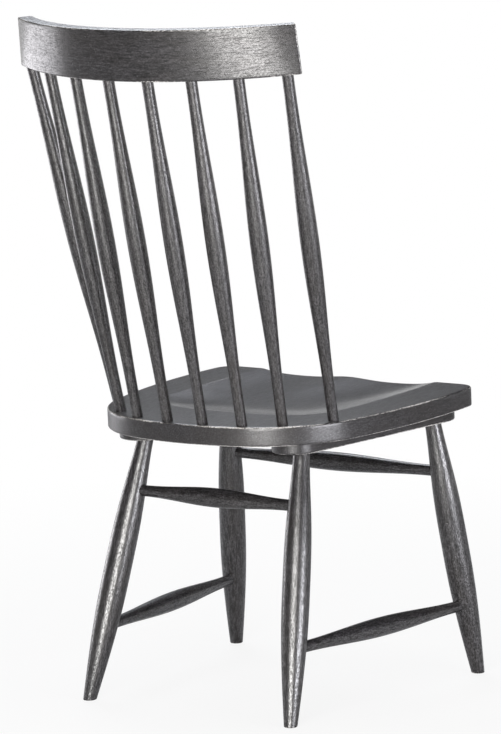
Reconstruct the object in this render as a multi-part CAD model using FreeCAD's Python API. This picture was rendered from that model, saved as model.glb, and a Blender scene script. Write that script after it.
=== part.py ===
import FreeCAD, Part
import math
import os
from FreeCAD import Placement, Rotation, Vector

# A high-backed windsor side chair in millimetres: a saddled seat on two cleats, four turned legs
# with four stretchers, and eight turned spindles under a curved crest rail.
# +Z is up, the sitter faces -Y and the sitter's left is +X. While it is drawn, y = 0 lies midway
# between the front and the back feet. At the end everything moves so that the origin is the
# middle of the chair's outer box, on the floor.

# Seat board
seat_back_height = 449.2
seat_slope = 1.55
seat_thickness = 30.0
seat_back_y = 230.7
seat_front_y = -229.0
seat_half_width = 249.0
seat_widest_y = -118.0
seat_back_radius = 415.0
seat_shoulder_radius = 172.0
seat_side_radius = 900.0
seat_corner_radius = 30.0
seat_top_rounding = 3.0
seat_bottom_rounding = 2.0

# Saddle: one dish with a pommel between the thighs
dish_depth = 10.0
dish_front_depth = 7.0
dish_front_half_width = 176.0
dish_back_half_width = 168.0
dish_front_squareness = 6.0
dish_back_squareness = 3.5
dish_back_y = 114.0
dish_middle_y = -40.0
pommel_rise = 4.4
pommel_half_width = 45.0
pommel_length = 190.0

# Legs, given by where the axis meets the floor and by how far it leans for each mm of height
back_foot_x = 191.0
back_foot_y = 227.5
back_leg_splay = 0.1071
back_leg_rake = 0.2690
front_foot_x = 235.7
front_foot_y = -227.5
front_leg_splay = 0.0948
front_leg_rake = 0.1417
leg_foot_diameter = 20.5
leg_swell_diameter = 42.5
leg_neck_diameter = 25.5
leg_full_from = 192.0
leg_full_to = 212.0
leg_foot_rounding = 1.5

# Cleats under the seat, which carry the legs
cleat_thickness = 18.0
cleat_width = 75.0
cleat_back_overhang = 50.5
cleat_front_overhang = 36.0
cleat_edge_rounding = 2.5

# Screws that hold the cleats to the seat
screw_length = 36.0
screw_diameter = 4.2
screw_head_diameter = 8.4
screw_head_height = 2.6
screw_slot_width = 1.2
screw_slot_depth = 1.1
screw_shares = (0.2, 0.5, 0.8)

# Stretchers
side_stretcher_height = 112.0
back_stretcher_height = 321.0
front_stretcher_height = 328.5
stretcher_swell_diameter = 30.0
stretcher_end_diameter = 17.5
stretcher_setback = 4.0

# Spindles, numbered from the middle outwards
spindle_foot_x = (33.0, 98.5, 153.0, 204.0)
spindle_insets = (14.0, 14.0, 16.0, 12.5)
spindle_foot_diameter = 16.8
spindle_swell_diameter = 28.6
spindle_top_diameter = 17.6
spindle_plain_foot = 42.0
spindle_swell_height = 286.0
spindle_socket_depth = 20.0
spindle_tenon_diameter = 12.0
spindle_tenon_length = 22.0

# Crest rail
crest_back_y = 347.0
crest_bottom_height = 979.0
crest_height = 80.0
crest_lean = 12.5
crest_thickness = 23.5
crest_bottom_radius = 422.0
crest_bottom_half_angle = 38.4
crest_bottom_slope = 6.8
crest_top_radius = 388.0
crest_top_half_angle = 41.8
crest_top_slope = 4.2
crest_rounding = 2.5
crest_spindle_step = 10.12

# Space that the glue takes round every tenon and between the boards
glue_gap = 0.3

up = Vector(0, 0, 1)


def turned(start, way, stations, plain_start, plain_end, first_slope=0.0):
    """Solid of revolution whose axis runs from start along way.

    stations lists (distance, diameter) of the turned part, which is drawn as one smooth curve.
    Round stock of the first diameter continues for plain_start before them, and of the last
    diameter for plain_end after them. first_slope is how fast the radius grows at the start.
    """
    swell = [Vector(diameter / 2, 0, distance) for distance, diameter in stations]
    low = swell[0] - up * plain_start
    high = swell[-1] + up * plain_end
    curve = Part.BSplineCurve()
    curve.interpolate(Points=swell, InitialTangent=Vector(first_slope, 0, 1), FinalTangent=up)
    edges = [Part.makeLine(Vector(0, 0, low.z), low)]
    if plain_start > 0:
        edges.append(Part.makeLine(low, swell[0]))
    edges.append(curve.toShape())
    if plain_end > 0:
        edges.append(Part.makeLine(swell[-1], high))
    edges.append(Part.makeLine(high, Vector(0, 0, high.z)))
    edges.append(Part.makeLine(Vector(0, 0, high.z), Vector(0, 0, low.z)))
    solid = Part.Face(Part.Wire(edges)).revolve(Vector(0, 0, 0), up, 360)
    solid.Placement = Placement(start, Rotation(up, way))
    return solid


def swell_stations(low, middle, high, low_diameter, swell_diameter, high_diameter):
    """Turned swell that rises and falls like a raised cosine, as (distance, diameter) pairs."""
    steps = 6
    stations = []
    for i in range(steps):
        rise = 0.5 - 0.5 * math.cos(math.pi * i / steps)
        diameter = low_diameter + (swell_diameter - low_diameter) * rise
        stations.append((low + (middle - low) * i / steps, diameter))
    for i in range(steps + 1):
        fall = 0.5 + 0.5 * math.cos(math.pi * i / steps)
        diameter = high_diameter + (swell_diameter - high_diameter) * fall
        stations.append((middle + (high - middle) * i / steps, diameter))
    return stations


def rod(start, way, low, high, diameter):
    """Round bar along a line, from the distance low to the distance high."""
    return Part.makeCylinder(diameter / 2, high - low, start + way * low, way)


def tilted_block(frame, low, high):
    """Wide flat block between two levels of a tilted frame, used to trim pieces to a plane."""
    reach = seat_back_height + crest_height
    block = Part.makeBox(2 * reach, 2 * reach, high - low, Vector(-reach, -reach, low))
    block.Placement = frame
    return block


def meet_plane(point, way, frame, level):
    """Where a line meets the plane z = level of a tilted frame."""
    normal = frame.Rotation.multVec(up)
    origin = frame.multVec(up * level)
    return point + way * ((origin - point).dot(normal) / way.dot(normal))


def mirrored(point):
    """The same point on the other side of the chair."""
    return Vector(-point.x, point.y, point.z)


def seat_frame():
    """Frame of the seat board: z = 0 is its top face and y is the chair's own y."""
    tilt = Rotation(Vector(1, 0, 0), -seat_slope)
    pivot = Vector(0, seat_back_y, 0)
    return Placement(pivot + up * seat_back_height - tilt.multVec(pivot), tilt)


def seat_plan():
    """Centres and joints of the arcs that make the right half of the seat's outline."""
    back_centre = Vector(0, seat_back_y - seat_back_radius, 0)
    side_centre = Vector(seat_half_width - seat_side_radius, seat_widest_y, 0)
    # The shoulder arc touches the back arc and the side arc from inside.
    to_back = seat_back_radius - seat_shoulder_radius
    to_side = seat_side_radius - seat_shoulder_radius
    line = side_centre - back_centre
    foot = (to_back ** 2 - to_side ** 2 + line.Length ** 2) / (2 * line.Length)
    rise = math.sqrt(to_back ** 2 - foot ** 2)
    across = Vector(line.y, -line.x, 0).normalize()
    shoulder_centre = back_centre + Vector(line).normalize() * foot + across * rise
    # The corner arc touches the side arc and the straight front edge.
    corner_y = seat_front_y + seat_corner_radius
    corner_reach = math.sqrt((seat_side_radius - seat_corner_radius) ** 2 - (corner_y - seat_widest_y) ** 2)
    corner_centre = Vector(side_centre.x + corner_reach, corner_y, 0)
    back_way = (shoulder_centre - back_centre).normalize()
    side_way = (shoulder_centre - side_centre).normalize()
    corner_way = (corner_centre - side_centre).normalize()
    return {
        "back_centre": back_centre,
        "shoulder_centre": shoulder_centre,
        "side_centre": side_centre,
        "corner_centre": corner_centre,
        "back_join": back_centre + back_way * seat_back_radius,
        "side_join": side_centre + side_way * seat_side_radius,
        "corner_join": side_centre + corner_way * seat_side_radius,
        "front_join": corner_centre - Vector(0, seat_corner_radius, 0),
    }


def arc_between(centre, start, end):
    """Short arc round a centre from start to end."""
    middle = centre + ((start + end) * 0.5 - centre).normalize() * (start - centre).Length
    return Part.Arc(start, middle, end).toShape()


def seat_board():
    """Seat board with its saddle, before its sockets are bored."""
    plan = seat_plan()
    back_middle = Vector(0, seat_back_y, 0)
    edges = [
        Part.Arc(mirrored(plan["back_join"]), back_middle, plan["back_join"]).toShape(),
        Part.makeLine(plan["front_join"], mirrored(plan["front_join"])),
    ]
    for centre, start, end in (
        ("shoulder_centre", "back_join", "side_join"),
        ("side_centre", "side_join", "corner_join"),
        ("corner_centre", "corner_join", "front_join"),
    ):
        edges.append(arc_between(plan[centre], plan[start], plan[end]))
        edges.append(arc_between(mirrored(plan[centre]), mirrored(plan[start]), mirrored(plan[end])))
    board = Part.Face(Part.Wire(Part.sortEdges(edges)[0])).extrude(up * -seat_thickness)
    board = board.makeFillet(seat_bottom_rounding, level_edges(board, -seat_thickness))
    board = board.cut(dish_tool())
    top = [edge for edge in board.Edges if is_top_edge(edge)]
    board = board.makeFillet(seat_top_rounding, top)
    board.Placement = seat_frame()
    return board


def level_edges(solid, level):
    """Edges of a solid that lie in the plane z = level."""
    close = 0.01
    return [e for e in solid.Edges if abs(e.BoundBox.ZMin - level) < close > abs(e.BoundBox.ZMax - level)]


def dish_height(x, y):
    """Height of the saddle's surface over the seat's flat rim; the saddle is where it is below 0.

    Going sideways it climbs with a high power of the way to its edge, going back with the third
    power. The pommel is a soft ridge in the middle that grows towards the front edge.
    """
    forward = min(1.0, max(0.0, (dish_middle_y - y) / (dish_middle_y - seat_front_y)))
    half_width = dish_back_half_width + (dish_front_half_width - dish_back_half_width) * forward
    squareness = dish_back_squareness + (dish_front_squareness - dish_back_squareness) * forward
    sides = (abs(x) / half_width) ** squareness
    if y > dish_middle_y:
        ends = ((y - dish_middle_y) / (dish_back_y - dish_middle_y)) ** 3
    else:
        ends = (1 - dish_front_depth / dish_depth) * forward ** 2
    grown = min(1.0, max(0.0, (seat_front_y + pommel_length - y) / pommel_length))
    pommel = pommel_rise * grown * grown * (3 - 2 * grown) * math.exp(-((x / pommel_half_width) ** 2))
    return dish_depth * (sides + ends - 1) + pommel


def dish_tool():
    """Solid over the saddle's surface, which carves the seat."""
    margin = 18.0
    columns = 19
    rows = 17
    low_y = seat_front_y - margin
    length = dish_back_y + margin - low_y
    width = 2 * (dish_front_half_width + margin)
    grid = []
    for i in range(columns):
        x = width * (i / (columns - 1) - 0.5)
        depths = [low_y + length * j / (rows - 1) for j in range(rows)]
        grid.append([Vector(x, y, dish_height(x, y)) for y in depths])
    surface = Part.BSplineSurface()
    surface.interpolate(grid)
    return surface.toShape().extrude(up * 3 * seat_thickness)


def is_top_edge(edge):
    """True for the edges of the seat's top that run round its outside, also across the saddle."""
    middle = edge.valueAt((edge.FirstParameter + edge.LastParameter) / 2)
    if edge.BoundBox.ZMin < -dish_depth - 1:
        return False
    ends = [vertex.Point for vertex in edge.Vertexes] + [middle]
    if all(abs(point.y - seat_front_y) < 0.01 for point in ends):
        return True
    return abs(edge.BoundBox.ZMin) < 0.01 and abs(edge.BoundBox.ZMax) < 0.01 and not is_dish_rim(edge)


def is_dish_rim(edge):
    """True for an edge of the seat's top face that is the rim of the saddle."""
    middle = edge.valueAt((edge.FirstParameter + edge.LastParameter) / 2)
    return abs(dish_height(middle.x, middle.y)) < 0.5 and middle.y > seat_front_y + 1


def spindle_line(number, side):
    """Foot centre on the seat's top plane, top centre at the crest rail, and the way between."""
    plan = seat_plan()
    x = spindle_foot_x[number]
    if x < plan["back_join"].x:
        centre = plan["back_centre"]
        radius = seat_back_radius - spindle_insets[number]
    else:
        centre = plan["shoulder_centre"]
        radius = seat_shoulder_radius - spindle_insets[number]
    y = centre.y + math.sqrt(radius ** 2 - (x - centre.x) ** 2)
    foot = seat_frame().multVec(Vector(side * x, y, 0))
    frame, back_radius = crest_frame(0)
    angle = math.radians(crest_spindle_step * (number + 0.5)) * side
    middle = back_radius - crest_thickness / 2
    top = frame.multVec(Vector(middle * math.sin(angle), middle * math.cos(angle), 0))
    length = (top - foot).Length
    return foot, (top - foot).normalize(), length


def spindle(number, side):
    """One spindle with its foot in the seat and its tenon in the crest rail."""
    foot, way, length = spindle_line(number, side)
    swell = swell_stations(
        spindle_plain_foot,
        spindle_swell_height,
        length - spindle_top_diameter,
        spindle_foot_diameter,
        spindle_swell_diameter,
        spindle_top_diameter,
    )
    body = turned(foot, way, swell, spindle_plain_foot + spindle_socket_depth, 2 * spindle_top_diameter)
    frame, radius = crest_frame(0)
    body = body.cut(tilted_block(frame, -glue_gap, 2 * spindle_top_diameter))
    root = length - spindle_top_diameter / 2
    tenon = rod(foot, way, root, length + spindle_tenon_length, spindle_tenon_diameter)
    return body.fuse(tenon).removeSplitter()


def spindle_socket(number, side, end):
    """Hole in the seat or in the crest rail for one end of a spindle."""
    foot, way, length = spindle_line(number, side)
    if end == "seat":
        return rod(foot, way, -spindle_socket_depth - glue_gap, seat_thickness, spindle_foot_diameter + 2 * glue_gap)
    low = length - spindle_tenon_length
    high = length + spindle_tenon_length + glue_gap
    return rod(foot, way, low, high, spindle_tenon_diameter + 2 * glue_gap)


def crest_frame(share):
    """Frame and back radius of the crest rail's bottom (0) or top (1) face.

    The frame's origin is the centre of the face's arcs. Its slope lifts the rail's two ends.
    """
    lean = math.radians(crest_lean)
    back = crest_back_y + share * crest_height * math.sin(lean)
    height = crest_bottom_height + share * crest_height * math.cos(lean)
    radius = crest_bottom_radius + share * (crest_top_radius - crest_bottom_radius)
    slope = crest_bottom_slope + share * (crest_top_slope - crest_bottom_slope)
    turn = Rotation(Vector(1, 0, 0), -slope)
    return Placement(Vector(0, back, height) - turn.multVec(Vector(0, radius, 0)), turn), radius


def crest_wire(share):
    """Outline of the crest rail's bottom or top face: two arcs and two square ends."""
    frame, outer = crest_frame(share)
    inner = outer - crest_thickness
    half = crest_bottom_half_angle + share * (crest_top_half_angle - crest_bottom_half_angle)
    end = Vector(math.sin(math.radians(half)), math.cos(math.radians(half)), 0)
    middle = Vector(0, 1, 0)
    edges = [
        Part.Arc(mirrored(end) * outer, middle * outer, end * outer).toShape(),
        Part.makeLine(end * outer, end * inner),
        Part.Arc(end * inner, middle * inner, mirrored(end) * inner).toShape(),
        Part.makeLine(mirrored(end) * inner, mirrored(end) * outer),
    ]
    wire = Part.Wire(edges)
    wire.Placement = frame
    return wire


def crest_board():
    """Crest rail before its sockets are bored."""
    board = Part.makeLoft([crest_wire(0), crest_wire(1)], True, True)
    return board.makeFillet(crest_rounding, board.Edges)


def leg_line(end, side):
    """Point where a leg's axis meets the floor, and the way up along it."""
    if end == "back":
        foot = Vector(side * back_foot_x, back_foot_y, 0)
        way = Vector(-side * back_leg_splay, -back_leg_rake, 1)
    else:
        foot = Vector(side * front_foot_x, front_foot_y, 0)
        way = Vector(-side * front_leg_splay, front_leg_rake, 1)
    return foot, way.normalize()


def leg_stations(length):
    """Turned swell of a leg up to its cleat, as (distance, diameter) pairs.

    From the foot the leg thickens like a quarter of a sine wave, which starts a little below the
    floor. Above its fullest part it narrows to the neck like a squared cosine, slowly at first.
    """
    steps = 6
    below = leg_foot_diameter / (2 * leg_full_from)
    stations = []
    for i in range(steps):
        share = (1 + below) * i / steps - below
        rise = math.sin(0.5 * math.pi * share)
        diameter = leg_foot_diameter + (leg_swell_diameter - leg_foot_diameter) * rise
        stations.append((leg_full_from * share, diameter))
    for i in range(steps + 1):
        share = i / steps
        fall = math.cos(0.5 * math.pi * share ** 1.5) ** 2
        diameter = leg_neck_diameter + (leg_swell_diameter - leg_neck_diameter) * fall
        stations.append((leg_full_to + (length - leg_full_to) * share, diameter))
    return stations


def leg_blank(end, side):
    """Turned leg, level at the floor and cut to the seat's underside, before its sockets."""
    foot, way = leg_line(end, side)
    frame = seat_frame()
    under_cleat = (meet_plane(foot, way, frame, -seat_thickness - cleat_thickness) - foot).Length
    slope = 0.25 * math.pi * (leg_swell_diameter - leg_foot_diameter) / leg_full_from
    leg = turned(foot, way, leg_stations(under_cleat), 0, 2 * cleat_thickness, slope)
    leg = leg.cut(tilted_block(Placement(), -leg_foot_diameter, 0))
    leg = leg.cut(tilted_block(frame, -seat_thickness - glue_gap, 2 * cleat_thickness))
    return leg.makeFillet(leg_foot_rounding, level_edges(leg, 0))


def leg_socket(end, side):
    """Hole in a cleat for the neck of a leg."""
    foot, way = leg_line(end, side)
    top = (meet_plane(foot, way, seat_frame(), -seat_thickness) - foot).Length
    return rod(foot, way, top - 2 * cleat_thickness, top + cleat_thickness, leg_neck_diameter + 2 * glue_gap)


def stretcher_line(name):
    """Start on one leg's axis, way to the other leg's axis, and the distance between them."""
    heights = {"back": back_stretcher_height, "front": front_stretcher_height}
    if name in heights:
        legs = ((name, -1), (name, 1))
    else:
        side = 1 if name == "left" else -1
        legs = (("back", side), ("front", side))
    points = []
    for end, side in legs:
        foot, way = leg_line(end, side)
        points.append(foot + way * (heights.get(name, side_stretcher_height) / way.z))
    start, finish = points
    return start, (finish - start).normalize(), (finish - start).Length


def stretcher(name):
    """Cigar-shaped stretcher with its round ends in the legs."""
    start, way, length = stretcher_line(name)
    hidden = leg_swell_diameter / 2
    swell = swell_stations(
        hidden,
        length / 2,
        length - hidden,
        stretcher_end_diameter,
        stretcher_swell_diameter,
        stretcher_end_diameter,
    )
    return turned(start, way, swell, hidden - stretcher_setback, hidden - stretcher_setback)


def stretcher_socket(name, at_start):
    """Hole in the leg at one end of a stretcher."""
    start, way, length = stretcher_line(name)
    if not at_start:
        start = start + way * length
        way = way * -1
    return rod(start, way, stretcher_setback - glue_gap, leg_swell_diameter, stretcher_end_diameter + 2 * glue_gap)


def cleat_points(side):
    """Where the axes of one side's back and front legs pass the middle of the cleat."""
    frame = seat_frame()
    points = []
    for end in ("back", "front"):
        foot, way = leg_line(end, side)
        level = -seat_thickness - cleat_thickness / 2
        points.append(frame.inverse().multVec(meet_plane(foot, way, frame, level)))
    return points


def cleat_board(side):
    """Cleat with two round ends, along the tops of one side's legs, before its holes."""
    back, front = cleat_points(side)
    forward = (front - back).normalize()
    radius = cleat_width / 2
    across = forward.cross(up) * radius
    back_centre = back - forward * (cleat_back_overhang - radius)
    front_centre = front + forward * (cleat_front_overhang - radius)
    edges = [
        Part.Arc(back_centre + across, back_centre - forward * radius, back_centre - across).toShape(),
        Part.makeLine(back_centre - across, front_centre - across),
        Part.Arc(front_centre - across, front_centre + forward * radius, front_centre + across).toShape(),
        Part.makeLine(front_centre + across, back_centre + across),
    ]
    board = Part.Face(Part.Wire(edges)).extrude(up * (cleat_thickness - glue_gap))
    bottom = back.z - cleat_thickness / 2
    board.translate(up * (bottom - back.z))
    board = board.makeFillet(cleat_edge_rounding, level_edges(board, bottom))
    board.Placement = seat_frame()
    return board


def screw_frames(side):
    """Frames of one cleat's screws: the origin is under the head and +z goes up into the seat."""
    back, front = cleat_points(side)
    frames = []
    for share in screw_shares:
        place = back + (front - back) * share
        place.z = -seat_thickness - cleat_thickness
        frames.append(seat_frame().multiply(Placement(place, Rotation())))
    return frames


def screw_profile(extra):
    """Half section of a countersunk screw, grown by extra all round."""
    head = screw_head_diameter / 2 + extra
    shank = screw_diameter / 2 + extra
    corners = [
        Vector(0, 0, glue_gap - extra),
        Vector(head, 0, glue_gap - extra),
        Vector(shank, 0, glue_gap + screw_head_height),
        Vector(shank, 0, screw_length - screw_diameter),
        Vector(0, 0, screw_length + extra),
    ]
    return Part.Face(Part.makePolygon(corners + [corners[0]])).revolve(Vector(0, 0, 0), up, 360)


def screw(frame):
    """Countersunk wood screw with a straight slot."""
    body = screw_profile(0)
    corner = Vector(-screw_head_diameter, -screw_slot_width / 2, 0)
    slot = Part.makeBox(2 * screw_head_diameter, screw_slot_width, glue_gap + screw_slot_depth, corner)
    body = body.cut(slot)
    body.Placement = frame
    return body


def screw_hole(frame):
    """Hole for a screw through its cleat and into the seat."""
    hole = screw_profile(glue_gap)
    hole.Placement = frame
    return hole


sides = {"left": 1, "right": -1}
numbers = range(len(spindle_foot_x))
parts = {}

seat = seat_board()
crest = crest_board()
screws = []
for side_name, side in sides.items():
    holes = [screw_hole(frame) for frame in screw_frames(side)]
    screws.extend(screw(frame) for frame in screw_frames(side))
    seat = seat.cut(holes)
    sockets = [leg_socket(end, side) for end in ("back", "front")]
    parts[side_name + "_cleat"] = cleat_board(side).cut(holes + sockets)
    for number in numbers:
        parts["spindle_" + side_name + "_" + str(number + 1)] = spindle(number, side)
    seat = seat.cut([spindle_socket(number, side, "seat") for number in numbers])
    crest = crest.cut([spindle_socket(number, side, "crest") for number in numbers])
    for end in ("back", "front"):
        bores = [stretcher_socket(end, side < 0), stretcher_socket(side_name, end == "back")]
        parts[end + "_leg_" + side_name] = leg_blank(end, side).cut(bores)
parts["seat"] = seat
parts["crest_rail"] = crest
parts["cleat_screws"] = Part.makeCompound(screws)
for name in ("back", "front", "left", "right"):
    parts[name + "_stretcher"] = stretcher(name)

box = Part.makeCompound(list(parts.values())).optimalBoundingBox(False, False)
middle_y = (box.YMin + box.YMax) / 2
os.makedirs("parts", exist_ok=True)
for name, shape in sorted(parts.items()):
    shape.translate(Vector(0, -middle_y, 0))
    shape.exportStep("parts/" + name + ".step")
    print(name, len(shape.Solids), "solid(s), valid", shape.isValid(), round(shape.Volume / 1000, 1), "cm3")
print("outer box", round(box.XLength, 1), round(box.YLength, 1), round(box.ZLength, 1), "mm")
print("moved in y by", round(-middle_y, 3), "mm")
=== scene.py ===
# %% [markdown]
# # A windsor chair in charcoal-stained wood
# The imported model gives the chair's real sizes and places. This lesson dresses it. The packed
# solids could take a material as they are, but their triangles know nothing of the wood's fibres.
# So each wooden piece is worked out again as a fine surface that carries its own grain, and one
# kind of finish can then follow every leg, spindle, board and curve.

import bpy
import numpy as np
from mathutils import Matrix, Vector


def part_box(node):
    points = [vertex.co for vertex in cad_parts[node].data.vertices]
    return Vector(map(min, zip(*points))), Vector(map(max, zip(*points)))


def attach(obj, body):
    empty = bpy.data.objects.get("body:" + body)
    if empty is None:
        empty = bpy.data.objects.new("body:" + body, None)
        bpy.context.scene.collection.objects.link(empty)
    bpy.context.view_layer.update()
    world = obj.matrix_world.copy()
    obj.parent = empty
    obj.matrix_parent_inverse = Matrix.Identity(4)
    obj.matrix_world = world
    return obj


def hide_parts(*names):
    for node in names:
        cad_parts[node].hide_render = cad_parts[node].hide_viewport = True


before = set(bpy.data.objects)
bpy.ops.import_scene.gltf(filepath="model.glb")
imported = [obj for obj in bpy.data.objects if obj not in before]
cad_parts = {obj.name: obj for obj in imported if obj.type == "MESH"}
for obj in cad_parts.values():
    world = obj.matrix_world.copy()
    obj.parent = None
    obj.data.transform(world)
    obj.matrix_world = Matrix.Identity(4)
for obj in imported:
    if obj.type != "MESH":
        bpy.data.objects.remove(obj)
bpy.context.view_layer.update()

# %% [markdown]
# ## Where the pieces are
# A chairmaker lays a chair out from its feet. So the sizes below are millimetres, with z = 0 on
# the floor and y = 0 halfway between the front and the back feet. A leg's axis is given by its
# foot and by its lean: how far it goes across and to the front or back for each step of height.
#
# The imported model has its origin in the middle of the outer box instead. How far the two are
# apart could be one more number, but it is safer to read it from the model: the back stretcher's
# axis lies on the back legs' axes, at a height that is known.

# %% Legs' axes and the shift between the two origins
MM = 1000
BACK_FOOT = np.array([191.0, 227.5, 0.0])
BACK_LEAN = np.array([-0.1071, -0.2690, 1.0])
FRONT_FOOT = np.array([235.7, -227.5, 0.0])
FRONT_LEAN = np.array([-0.0948, 0.1417, 1.0])
BACK_STRETCHER_HEIGHT = 321.0
FRONT_STRETCHER_HEIGHT = 328.5
SIDE_STRETCHER_HEIGHT = 112.0


def leg_point(foot, lean, side, height):
    """Point of a leg's axis: the foot plus the lean times the height, mirrored for side -1."""
    return (foot + lean * height) * np.array([side, 1.0, 1.0])


box_low, box_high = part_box("back_stretcher")
packed_y = MM * (box_low[1] + box_high[1]) / 2
shift = packed_y - leg_point(BACK_FOOT, BACK_LEAN, 1, BACK_STRETCHER_HEIGHT)[1]
print("pieces move by", round(shift, 2), "mm in y")

# %% [markdown]
# ## The camera
# The photograph was taken from behind, on the sitter's right, a little above the seat, with a long
# lens. A camera could be aimed by eye until the picture fits. These numbers are nearer: they were
# solved from the chair's own corners. A place and three angles say more to a reader than a matrix
# does, so the matrix is worked out from them.

# %% Camera
CAMERA_PLACE = np.array([-3953.3, 5544.6, 1522.9])
CAMERA_AZIMUTH = np.radians(215.69)
CAMERA_DOWN = np.radians(8.494)
CAMERA_ROLL = np.radians(-1.5)
CAMERA_LENS = 216.8
SENSOR_WIDTH = 36
# In metres: how far the camera sees.
FAR_LIMIT = 200


def placed(right, up, back, place):
    """Matrix as Blender takes it, from an array whose columns are three axes and a place."""
    matrix = np.eye(4)
    matrix[:3] = np.stack([right, up, back, place], 1)
    return matrix.T.tolist()


def camera_axes(azimuth, down, roll):
    """The camera's right, up and back axes.

    Back points from the chair to the camera: (sin a cos d, -cos a cos d, sin d) for the azimuth a
    and the angle down d. Right is level before the roll, which turns right and up about the view.
    """
    back = np.array([np.sin(azimuth) * np.cos(down), -np.cos(azimuth) * np.cos(down), np.sin(down)])
    level = np.cross(-back, [0.0, 0.0, 1.0])
    level /= np.linalg.norm(level)
    upright = np.cross(level, -back)
    right = np.cos(roll) * level + np.sin(roll) * upright
    up = np.cos(roll) * upright - np.sin(roll) * level
    return right, up, back


camera = bpy.data.objects.new("camera", bpy.data.cameras.new("camera"))
bpy.context.scene.collection.objects.link(camera)
camera_place = (CAMERA_PLACE + [0.0, shift, 0.0]) / MM
camera_right, camera_up, camera_back = camera_axes(CAMERA_AZIMUTH, CAMERA_DOWN, CAMERA_ROLL)
camera.matrix_world = placed(camera_right, camera_up, camera_back, camera_place)
camera.data.sensor_width = SENSOR_WIDTH
camera.data.lens = CAMERA_LENS
camera.data.clip_end = FAR_LIMIT
bpy.context.scene.camera = camera
print("camera at", np.round(camera_place, 3))

# %% [markdown]
# ## From arrays to meshes
# Every wooden piece of this chair is one lump without a hole that would show. So each can be a
# closed tube: a stack of rings with the same number of points, closed by one point at each end. A
# leg's rings go up its axis. A board's start in the middle of its top, grow to the edge, run down
# the side and shrink again underneath. Blender's Screw and Bevel modifiers could make such shapes
# too, but with arrays every point also knows its place in the wood.

# %% Faces of a tube
def tube_faces(rings, columns):
    """Quads between neighbouring rings, and a fan of triangles round the point at each end.

    Points are numbered ring by ring, and the two end points come last.
    """
    here = np.arange(columns)
    after = np.roll(here, -1)
    row = np.arange(rings - 1)[:, None] * columns
    quads = np.stack([row + here, row + after, row + columns + after, row + columns + here], -1)
    end = np.full(columns, rings * columns)
    last_ring = (rings - 1) * columns
    first_fan = np.stack([end, after, here], -1)
    last_fan = np.stack([end + 1, last_ring + here, last_ring + after], -1)
    return quads.reshape(-1, 4), np.concatenate([first_fan, last_fan])


def volume(points, quads, fans):
    """Signed volume, positive if faces point out: a sixth of all triangles' triple products."""
    triangles = np.concatenate([quads[:, [0, 1, 2]], quads[:, [0, 2, 3]], fans])
    a, b, c = (points[triangles[:, i]] for i in range(3))
    return float(np.einsum("ij,ij->i", a, np.cross(b, c)).sum() / 6)


print("faces of a tube of 3 rings of 8 points:", [len(faces) for faces in tube_faces(3, 8)])

# %% [markdown]
# ## A piece of wood
# The next helper makes a mesh of such a tube and joins it to the chair. It also stores two values
# at each point: `grain`, the place in the wood with its third number along the fibres, and
# `wear`, how much the piece is rubbed there. A UV map could lay the fibres out too, but it would
# stretch over a turned swell and break at its seam, while a place in the wood has no seam.

# %% Tube of rings to a finished piece
pieces = []


def wooden_piece(node, rings, grain, wear):
    """Make the piece that stands for a CAD node, from arrays with one row per ring.

    Where the volume comes out negative, the faces are turned round, so that they point out.
    """
    count, columns = rings.shape[:2]

    def with_ends(values):
        """All rings' values in one list, then the mean of the first ring and of the last."""
        flat = values.reshape(count * columns, -1)
        first = values[:1].mean(1).reshape(1, -1)
        last = values[-1:].mean(1).reshape(1, -1)
        return np.concatenate([flat, first, last])

    points = (with_ends(rings) + [0.0, shift, 0.0]) / MM
    quads, fans = tube_faces(count, columns)
    if volume(points, quads, fans) < 0:
        quads, fans = quads[:, ::-1], fans[:, ::-1]
    mesh = bpy.data.meshes.new(node + "_wood")
    mesh.from_pydata(points.tolist(), [], quads.tolist() + fans.tolist())
    mesh.attributes.new("grain", "FLOAT_VECTOR", "POINT")
    mesh.attributes["grain"].data.foreach_set("vector", (with_ends(grain) / MM).ravel())
    mesh.attributes.new("wear", "FLOAT", "POINT")
    mesh.attributes["wear"].data.foreach_set("value", with_ends(wear).ravel())
    mesh.shade_smooth()
    piece = bpy.data.objects.new(node + "_wood", mesh)
    bpy.context.scene.collection.objects.link(piece)
    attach(piece, "root")
    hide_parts(node)
    pieces.append(piece)
    return piece


print("nodes in the packed chair:", len(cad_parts))

# %% [markdown]
# ## Turned pieces
# A turner spins square stock and cuts a profile into it: a list of distances along the axis with
# a radius at each. A modifier could spin the profile too. Here the rings are worked out directly,
# because the same sums give each point's place in the wood: the grain runs along the axis, so the
# third grain number is simply the distance. Each piece comes from its own part of the tree: a
# different offset is added to its grain, so that no two pieces show the same figure.

# %% Spin a profile
TURNED_COLUMNS = 72
TREE_STEP = np.array([137.0, 61.0, 983.0])


def axis_frame(way):
    """Unit vector along an axis and two unit vectors square to it, found with cross products."""
    way = way / np.linalg.norm(way)
    across = np.cross([0.0, 1.0, 0.0] if abs(way[1]) < 0.9 else [1.0, 0.0, 0.0], way)
    across /= np.linalg.norm(across)
    return way, across, np.cross(way, across)


def spin(start, way, distance, radius, columns=TURNED_COLUMNS):
    """Rings round an axis, and the grain place of each point: (r cos t, r sin t, distance)."""
    way, across, beside = axis_frame(way)
    turn = np.linspace(0, 2 * np.pi, columns, endpoint=False)
    x = radius[:, None] * np.cos(turn)
    y = radius[:, None] * np.sin(turn)
    z = np.broadcast_to(distance[:, None], x.shape)
    grain = np.stack([x, y, z], -1)
    return start + x[..., None] * across + y[..., None] * beside + z[..., None] * way, grain


def tree_offset(number):
    """Where in the tree a piece comes from: one step further for each number."""
    return TREE_STEP * number


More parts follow.
